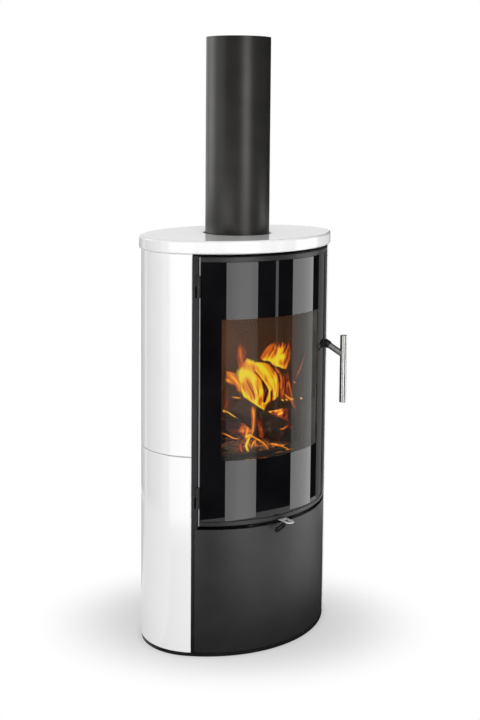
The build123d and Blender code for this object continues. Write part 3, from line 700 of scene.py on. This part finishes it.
# ------------------------------------------------------------------ stage
def studio_floor():
    """Floor and world: white where the camera, gloss or glass looks, plain soft light for everything else.

    The seen floor darkens towards the foot over a wide oval, and again close to it by how much of the sky
    the object hides, as a soft studio shadow does.
    """
    size = 12.0
    corners = np.array([(-size, -size, 0), (size, -size, 0), (size, size, 0), (-size, size, 0)])
    paper, tree = empty_material("white_paper_floor")
    plain = node(tree, "ShaderNodeEmission", {"Color": srgb("#ffffff"), "Strength": FLOOR_LIGHT})
    place = node(tree, "ShaderNodeTexCoord").outputs["Object"]
    spin = {"Vector": place, "Angle": VIEW_AZIMUTH}
    turned = node(tree, "ShaderNodeVectorRotate", spin, rotation_type="Z_AXIS")
    oval = stretched(tree, turned.outputs[0], (1 / SHADOW_OVAL[0], 1 / SHADOW_OVAL[1], 1))
    reach = node(tree, "ShaderNodeVectorMath", {0: oval}, operation="LENGTH").outputs["Value"]
    soft = between(tree, reach, *SHADOW_REACH, SHADOW_DEEPEST, 1.0)
    open_sky = node(tree, "ShaderNodeAmbientOcclusion", {"Distance": CONTACT_REACH}, samples=24).outputs["AO"]
    shade = sums(tree, "MULTIPLY", soft, between(tree, open_sky, 0.2, 0.9, 0.75, 1.0))
    seen = node(tree, "ShaderNodeEmission", {"Color": srgb("#ffffff"), "Strength": shade})
    mixed = node(tree, "ShaderNodeMixShader", {0: seen_rays(tree), 1: plain.outputs[0], 2: seen.outputs[0]})
    node(tree, "ShaderNodeOutputMaterial", {"Surface": mixed.outputs[0]})
    mesh_object("studio_floor", corners, [(0, 1, 2, 3)], paper)

    world = bpy.data.worlds.new("studio_world")
    world.use_nodes = True
    bpy.context.scene.world = world
    tree = world.node_tree
    tree.nodes.clear()
    height = node(tree, "ShaderNodeSeparateXYZ", {0: node(tree, "ShaderNodeTexCoord").outputs["Generated"]})
    power = between(tree, height.outputs[2], 0.0, 0.9, *SKY_LIGHT)
    light = node(tree, "ShaderNodeBackground", {"Color": srgb("#ffffff"), "Strength": power})
    white = node(tree, "ShaderNodeBackground", {"Color": srgb("#ffffff"), "Strength": 1.0})
    mixed = node(tree, "ShaderNodeMixShader", {0: seen_rays(tree), 1: light.outputs[0], 2: white.outputs[0]})
    node(tree, "ShaderNodeOutputWorld", {"Surface": mixed.outputs[0]})


def seen_rays(tree):
    """1 for camera, glossy and transmission rays."""
    path = node(tree, "ShaderNodeLightPath")
    either = sums(tree, "MAXIMUM", path.outputs["Is Camera Ray"], path.outputs["Is Glossy Ray"])
    return sums(tree, "MAXIMUM", either, path.outputs["Is Transmission Ray"])


def reflection_card(name, angles, heights, radii, strength, fade=(0.0, 0.1), swing=()):
    """Curved card round the stove, seen only in reflections: points at r (sin a, -cos a) from foot to head.

    The radius goes from the first to the second of radii while the height goes from the first to the
    second of heights; fade gives two radii between which the strength grows from nothing, and each
    entry of swing two angles and the strengths at them, between which it is scaled.
    """
    angle = np.radians(np.linspace(*angles, 60))[:, None]
    radius = np.linspace(*radii, 8)[None, :]
    height = np.broadcast_to(np.linspace(*heights, 8)[None, :], (60, 8))
    points = np.stack([radius * np.sin(angle), -radius * np.cos(angle), height], axis=-1)
    card, tree = empty_material(name)
    place = node(tree, "ShaderNodeTexCoord").outputs["Object"]
    reach = node(tree, "ShaderNodeVectorMath", {0: place}, operation="LENGTH").outputs["Value"]
    power = between(tree, reach, *fade, 0.0, strength)
    split = node(tree, "ShaderNodeSeparateXYZ", {0: place})
    bearing = sums(tree, "ARCTAN2", split.outputs[0], sums(tree, "MULTIPLY", split.outputs[1], -1.0))
    for first, last, at_first, at_last in swing:
        turn = between(tree, bearing, math.radians(first), math.radians(last), at_first, at_last)
        power = sums(tree, "MULTIPLY", power, turn)
    glow = node(tree, "ShaderNodeEmission", {"Color": srgb("#ffffff"), "Strength": power})
    node(tree, "ShaderNodeOutputMaterial", {"Surface": glow.outputs[0]})
    made = grid_object(name, points, card, around=False)
    made.visible_camera = False
    made.visible_diffuse = False
    made.visible_transmission = False
    made.visible_shadow = False


def lamp(name, kind, place, target, energy, size, colour="#ffffff"):
    """Light that shines from place towards target."""
    data = bpy.data.lights.new(name, kind)
    data.energy = energy
    data.color = srgb(colour)[:3]
    if kind == "AREA":
        data.size = size
    else:
        data.shadow_soft_size = size
    made = bpy.data.objects.new(name, data)
    made.location = place
    made.rotation_euler = (Vector(target) - Vector(place)).to_track_quat("-Z", "Y").to_euler()
    made.visible_camera = False
    made.visible_glossy = False
    made.visible_transmission = False
    bpy.context.scene.collection.objects.link(made)
    return made


def photo_camera():
    """Camera of the photograph: fitted place, turn and lens, with the optical centre kept by the shift."""
    place = Vector((-VIEW_SINE * VIEW_DISTANCE, -VIEW_COSINE * VIEW_DISTANCE, VIEW_HEIGHT))
    forward, right, up = camera_axes()
    data = bpy.data.cameras.new("photo_camera")
    data.sensor_width = SENSOR
    data.lens = FOCAL_PIXELS / IMAGE_HEIGHT * SENSOR
    data.shift_x = (IMAGE_CENTRE[0] - OPTICAL_CENTRE[0]) / IMAGE_HEIGHT
    data.shift_y = (OPTICAL_CENTRE[1] - IMAGE_CENTRE[1]) / IMAGE_HEIGHT
    camera = bpy.data.objects.new("photo_camera", data)
    turn = Matrix((right, up, -forward)).transposed().to_4x4()
    camera.matrix_world = Matrix.Translation(place) @ turn
    bpy.context.scene.collection.objects.link(camera)
    bpy.context.scene.camera = camera


# ------------------------------------------------------------------ the scene
for leftover in list(bpy.data.objects):
    bpy.data.objects.remove(leftover)

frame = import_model()
bpy.context.scene.view_settings.view_transform = "Standard"

photo_camera()
studio_floor()
reflection_card("card_dark", (-86, 122), (0.0, 2.6), WALL_REACH, 0.0)
reflection_card("card_dark_low", (122, 148), (0.0, 1.0), WALL_REACH, 0.0)
reflection_card("card_dark_left", (-150, -106), BELOW_TOP, (1.2, 1.2), 0.3)
reflection_card("card_flag_floor", (150, 200), ON_FLOOR, (0.3, 1.1), 0.4)
reflection_card("card_flag", (150, 200), (0.0, 0.9), WALL_REACH, 0.3)
reflection_card("card_pipe_strip", (-165, -118), (0.98, 1.7), CARD_REACH, 3.0,
                swing=((-165, -150, 0.2, 1.0), (-133, -118, 1.0, 0.2)))
reflection_card("card_pipe_streak", (-28, 9), (1.0, 1.6), CARD_REACH, 3.6,
                swing=((-28, -13, 0.1, 1.0), (-6, 9, 1.0, 0.1)))
reflection_card("card_edge_strip", (-90, -53.5), BELOW_TOP, CARD_REACH, 3.2)
reflection_card("card_top_strip", (-56, 115), (0.83, 0.92), CARD_REACH, 2.7,
                swing=((-45, 0, 1.0, 0.25), (20, 90, 0.6, 0.8)))
reflection_card("card_left_strip", (-25.2, 4.7), BELOW_TOP, STRIP_REACH, 3.0,
                swing=((-25, -10, 0.86, 1.08), (-6, 4, 1.0, 0.88)))
reflection_card("card_thin_strip", (23.5, 26.5), (0.3, 0.93), STRIP_REACH, 1.6)
reflection_card("card_right_strip", (44, 75.5), BELOW_TOP, STRIP_REACH, 2.7)
reflection_card("card_side_strip", (88, 110), (0.0, 0.83), CARD_REACH, 0.3)
reflection_card("card_floor", (-86, 148), ON_FLOOR, (0.16, 0.95), 2.2, fade=(0.25, 0.85),
                swing=((-46, 25, 0.12, 1.0), (35, 100, 1.0, 0.04)))
lamp("key_lamp", "AREA", (-1.5, -3.3, 2.3), (0, 0, 0.5), energy=54, size=1.8)
lamp("fire_lamp", "POINT", (0.005, 0.01, 0.67), (0, 0, 0), energy=1.5, size=0.05, colour="#ffb478")

finishes = {
    "white_glaze": stoneware_glaze(),
    "black_enamel": stove_paint("satin_black_stove_paint", "#0e0e10", "#141416", 0.45, gloss=0.32),
    "grey_paint": stove_paint("satin_anthracite_stove_paint", "#1b1b1d", "#202022", 0.4),
    "flue_paint": stove_paint("grey_flue_paint", "#2c2b29", "#32312e", 0.32, metallic=0.35),
    "stainless": brushed_stainless(),
    "sheet_steel": galvanised_sheet(),
    "furnace_steel": sooted_steel(),
    "clear_glass": ceramic_glass(),
    "seal_rope": glass_rope(),
    "fire_brick": vermiculite_board(),
    "cast_iron": cast_iron(),
    "firewood": charred_wood(),
}
own_finishes = {
    "door_frame": door_paint(),
    "handle_arm": bead_blasted_stainless(),
    "air_lever_ring": stove_paint("matt_black_oxide", "#050506", "#0a0a0b", 0.6, gloss=0.12),
    "air_lever_tab": stove_paint("satin_nickel_plate", "#cfcfcd", "#dededc", 0.4, metallic=0.3),
}
for node_name, part in frame["nodes"].items():
    for place in part.material_slots:
        place.material = own_finishes.get(node_name, finishes[place.material.name.split(".")[0]])


def dress(piece, body, slot, *nodes):
    """The piece rides on a body and stands for these nodes, which it hides; slot is not used."""
    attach(piece, body)
    if nodes:
        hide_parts(*nodes)


dress(printed_border(printed_glass()), "fire_door", "clear_glass", "door_glass")
dress(clear_pane(finishes["clear_glass"]), "fire_door", "clear_glass", "door_glass")

# name, start and end (right, away, height) in millimetres, radius in metres, roll in degrees, seed,
# glow at both ends
LOGS = (
    ("log_low", (-72, 48, 481), (30, -8, 482), 0.023, -60, 11, (0.1, 1.0)),
    ("log_main", (0, 12, 537), (114, -20, 482), 0.027, -112, 21, (0.25, 0.2)),
    ("log_under", (56, 34, 479), (116, 50, 480), 0.022, 80, 31, (0.1, 0.1)),
    ("log_right", (98, 8, 513), (132, 62, 503), 0.022, -60, 41, (1.0, 0.0)),
    ("log_back", (-56, 84, 481), (60, 86, 482), 0.022, 20, 51, (0.2, 0.2)),
)
for name, start, end, size, roll, seed, hot in LOGS:
    log = split_log(name, in_view(*start), in_view(*end), size, roll, seed, hot, finishes["firewood"])
    dress(log, "stove", "firewood", "fire_logs")
dress(ember_bed(glowing_coals()), "stove", "firewood")

# The points of both tables were picked on two enlargements of the photograph, TONGUE_VIEW and
# VEIL_VIEW, and adjusted against renders. picked() works them out in millimetres.
# name, heat, millimetres behind the middle of the stove, four picked points (x, y, width)
TONGUES = (
    ("streak_hook", 0.95, -8, ((560, 610, 15.6), (680, 640, 52), (640, 400, 104), (470, 250, 52))),
    ("tail_root", 0.72, -4, ((345, 545, 26), (340, 450, 78), (280, 400, 117), (230, 330, 65))),
    ("lick", 0.95, 10, ((890, 590, 14), (840, 590, 30), (800, 570, 35), (780, 530, 10))),
    ("thread", 0.72, -62, ((450, 965, 24), (485, 880, 40), (490, 760, 48), (462, 640, 66))),
    ("thread_side", 0.24, -58, ((575, 1000, 40), (530, 900, 80), (520, 800, 90), (505, 690, 40))),
    ("far_thread", 0.35, 20, ((880, 402, 6), (945, 300, 9), (985, 170, 8), (1010, 60, 5))),
    ("fork_left", 0.95, -115, ((440, 1160, 8), (385, 1080, 50), (400, 1010, 44), (455, 950, 30))),
    ("fork_middle", 0.72, -113, ((448, 1100, 10), (450, 1050, 28), (480, 1010, 28), (510, 975, 20))),
    ("fork_right", 0.72, -114, ((635, 1140, 8), (615, 1050, 34), (560, 1010, 34), (455, 965, 24))),
    ("fork_knot", 0.95, -111, ((380, 985, 30), (420, 950, 70), (450, 950, 60), (500, 975, 20))),
    ("fork_glow", 0.35, -109, ((370, 1160, 30), (350, 1100, 60), (350, 1050, 50), (350, 1010, 20))),
    ("splinter_low", 0.72, -60, ((150, 930, 12), (240, 945, 16), (250, 1000, 16), (360, 985, 12))),
    ("splinter_high", 0.72, -40, ((170, 690, 12), (220, 720, 18), (270, 760, 14), (310, 780, 10))),
    ("splinter_top", 0.72, -20, ((250, 570, 10), (290, 560, 14), (330, 600, 24), (350, 560, 14))),
    ("splinter_right", 0.72, -90, ((620, 1030, 12), (700, 1060, 16), (780, 1050, 14), (840, 1105, 14))),
    ("splinter_hook", 0.72, -40, ((700, 890, 12), (780, 900, 24), (780, 870, 24), (830, 850, 12))),
    ("spark_a", 0.95, -10, ((752, 585, 10), (760, 600, 24), (770, 603, 24), (777, 612, 10))),
    ("spark_b", 0.95, -10, ((793, 588, 10), (801, 598, 24), (810, 600, 24), (818, 606, 10))),
    ("spark_c", 0.95, 10, ((943, 568, 10), (949, 580, 22), (953, 585, 22), (959, 594, 10))),
    ("spark_d", 0.72, 0, ((878, 410, 10), (884, 420, 18), (888, 424, 18), (894, 432, 10))),
    ("spark_e", 0.95, -40, ((170, 698, 10), (178, 710, 22), (182, 716, 22), (190, 724, 10))),
    ("fan_c", 0.95, -5, ((690, 600, 12), (725, 450, 40), (640, 330, 55), (450, 215, 25))),
)
# name, millimetres behind, bulge, heat, thickness, tearing, guides of four picked points (x, y),
# streaks (amount, width, four picked points)
VEILS = (
    ("sail", 0, -14, 0.62, 1, 0.1, (
        ((495, 885), (300, 560), (380, 330), (600, 190)),
        ((640, 955), (540, 760), (440, 480), (620, 195)),
        ((865, 1112), (760, 900), (620, 560), (650, 205)),
        ((935, 975), (960, 760), (800, 480), (690, 225)),
        ((1085, 905), (1060, 640), (900, 420), (760, 240)),
        ((1170, 820), (1120, 600), (1080, 400), (900, 275)),
        ((1230, 660), (1220, 560), (1200, 470), (1080, 345)),
    ), (
        (0.45, 62, (520, 880), (430, 640), (360, 440), (470, 400)),
        (0.5, 110, (450, 520), (520, 460), (600, 440), (680, 520)),
        (0.35, 40, (640, 430), (680, 500), (690, 560), (690, 600)),
        (0.42, 95, (610, 230), (760, 250), (900, 420), (1010, 620)),
        (0.4, 36, (730, 400), (800, 500), (900, 600), (980, 760)),
        (0.4, 44, (700, 960), (740, 900), (800, 880), (810, 760)),
        (0.45, 36, (690, 980), (760, 1020), (810, 1060), (870, 1110)),
        (0.4, 44, (540, 800), (580, 880), (640, 930), (700, 960)),
        (0.5, 24, (965, 740), (965, 850), (950, 960), (850, 970)),
        (0.38, 22, (1010, 620), (1050, 760), (1040, 850), (1060, 930)),
        (0.38, 22, (1060, 450), (1110, 600), (1080, 760), (1100, 880)),
        (0.2, 30, (830, 760), (850, 680), (800, 560), (740, 430)),
        (0.15, 24, (740, 800), (750, 720), (720, 640), (690, 600)),
        (-0.75, 26, (722, 425), (830, 560), (935, 700), (930, 770)),
        (-0.75, 30, (930, 760), (905, 860), (880, 900), (870, 945)),
        (-0.4, 15, (560, 600), (620, 680), (660, 760), (695, 840)),
        (0.35, 18, (520, 560), (590, 660), (640, 780), (680, 900)),
        (0.3, 18, (600, 540), (680, 640), (720, 760), (740, 880)),
        (-0.35, 10, (590, 900), (560, 820), (520, 740), (490, 640)),
        (-0.3, 10, (700, 930), (700, 840), (680, 760), (640, 660)),
        (-0.35, 11, (790, 1010), (810, 900), (790, 780), (740, 680)),
        (0.3, 16, (740, 990), (770, 880), (750, 760), (690, 620)),
        (0.3, 14, (830, 1060), (850, 960), (850, 860), (820, 740)),
        (-0.3, 12, (690, 620), (750, 720), (780, 800), (770, 880)),
        (0.25, 18, (480, 560), (540, 680), (590, 780), (620, 900)),
        (-0.3, 22, (640, 930), (665, 850), (655, 790), (600, 660)),
        (-0.5, 30, (840, 600), (875, 700), (890, 800), (870, 930)),
        (-0.8, 22, (995, 945), (1005, 860), (985, 800), (985, 765)),
        (-0.5, 12, (1030, 880), (1020, 820), (1020, 780), (1010, 740)),
        (-0.45, 26, (1130, 480), (1150, 620), (1140, 760), (1120, 900)),
        (-0.35, 50, (1190, 420), (1210, 520), (1210, 640), (1190, 760)),
        (-0.3, 22, (600, 195), (800, 240), (1000, 310), (1200, 400)),
        (-0.35, 40, (1000, 330), (1060, 400), (1100, 470), (1130, 600)),
        (-0.5, 12, (1080, 900), (1090, 800), (1100, 700), (1100, 600)),
        (0.3, 16, (1040, 500), (1080, 640), (1060, 780), (1075, 900)),
    )),
    ("crest", 36, -10, 0.46, 1, 1, (
        ((765, 215), (790, 120), (900, 20), (1000, -60)),
        ((870, 250), (920, 120), (990, 10), (1040, -130)),
        ((980, 290), (1040, 150), (1080, 20), (1110, -140)),
        ((1100, 340), (1130, 200), (1160, 40), (1190, -190)),
        ((1190, 385), (1230, 250), (1260, 60), (1250, -150)),
        ((1265, 410), (1330, 260), (1370, 120), (1350, -130)),
    ), (
        (0.5, 80, (880, 245), (960, 240), (1060, 220), (1190, 170)),
        (0.5, 64, (1000, 280), (1080, 300), (1150, 340), (1180, 375)),
        (0.42, 60, (1100, 260), (1110, 180), (1120, 120), (1135, 50)),
        (0.3, 24, (940, 215), (1000, 150), (1040, 90), (1060, 0)),
        (0.25, 24, (1190, 250), (1200, 180), (1190, 120), (1190, 0)),
        (0.25, 20, (1150, 100), (1160, 50), (1180, 0), (1190, -60)),
        (0.2, 20, (1300, 250), (1310, 180), (1310, 100), (1320, 20)),
        (-0.4, 18, (1060, 110), (1080, 60), (1090, 20), (1100, -60)),
        (-0.4, 20, (1190, 120), (1220, 80), (1250, 40), (1260, -40)),
        (-0.35, 16, (1230, 300), (1270, 220), (1280, 140), (1290, 60)),
        (-0.2, 16, (960, 140), (1000, 100), (1030, 40), (1040, 0)),
    )),
    ("wisp", 6, -6, 0.36, 0.42, 0.6, (
        ((420, 400), (370, 250), (380, 120), (360, -60)),
        ((500, 380), (480, 250), (470, 120), (440, -100)),
        ((590, 345), (620, 240), (610, 120), (540, -30)),
    ), (
        (0.16, 50, (520, 330), (510, 250), (500, 180), (480, 100)),
        (-0.1, 30, (440, 380), (430, 300), (420, 200), (410, 100)),
    )),
    ("tail", 4, 6, 0.52, 0.95, 0.5, (
        ((440, 740), (350, 680), (240, 660), (190, 590)),
        ((410, 600), (330, 560), (260, 530), (200, 500)),
        ((410, 440), (340, 430), (280, 420), (175, 425)),
    ), (
        (0.2, 60, (360, 610), (310, 580), (270, 570), (230, 610)),
        (-0.2, 40, (400, 480), (330, 440), (280, 430), (200, 430)),
        (0.2, 26, (430, 720), (400, 660), (370, 620), (330, 600)),
    )),
    ("ember_veil", 24, 8, 0.3, 0.85, 0.7, (
        ((1110, 960), (1150, 800), (1160, 600), (1190, 430)),
        ((1250, 930), (1260, 800), (1250, 600), (1300, 420)),
        ((1420, 1090), (1415, 900), (1370, 700), (1290, 560)),
    ), (
        (0.3, 50, (1405, 1080), (1385, 900), (1345, 760), (1290, 650)),
        (0.15, 60, (1180, 600), (1200, 520), (1240, 460), (1300, 400)),
        (0.25, 16, (1180, 900), (1190, 780), (1210, 660), (1200, 540)),
        (-0.3, 16, (1230, 880), (1240, 760), (1250, 660), (1240, 540)),
        (-0.25, 18, (1320, 900), (1310, 800), (1300, 700), (1270, 600)),
    )),
    ("left_haze", -20, 6, 0.15, 0.26, 0.5, (
        ((110, 1150), (130, 1000), (140, 850), (140, 680)),
        ((270, 1130), (290, 1000), (300, 850), (270, 700)),
    ), (
        (0.12, 40, (230, 1100), (240, 1000), (240, 900), (230, 800)),
    )),
)
burning = wood_flame()
for seed, (name, *row) in enumerate(TONGUES, start=61):
    dress(flame_tongue("flame_" + name, *row, seed, burning), "stove", "firewood")
for seed, (name, *shape, guides, streaks) in enumerate(VEILS, start=161):
    dress(flame_veil("flame_" + name, shape, guides, streaks, seed, burning), "stove", "firewood")
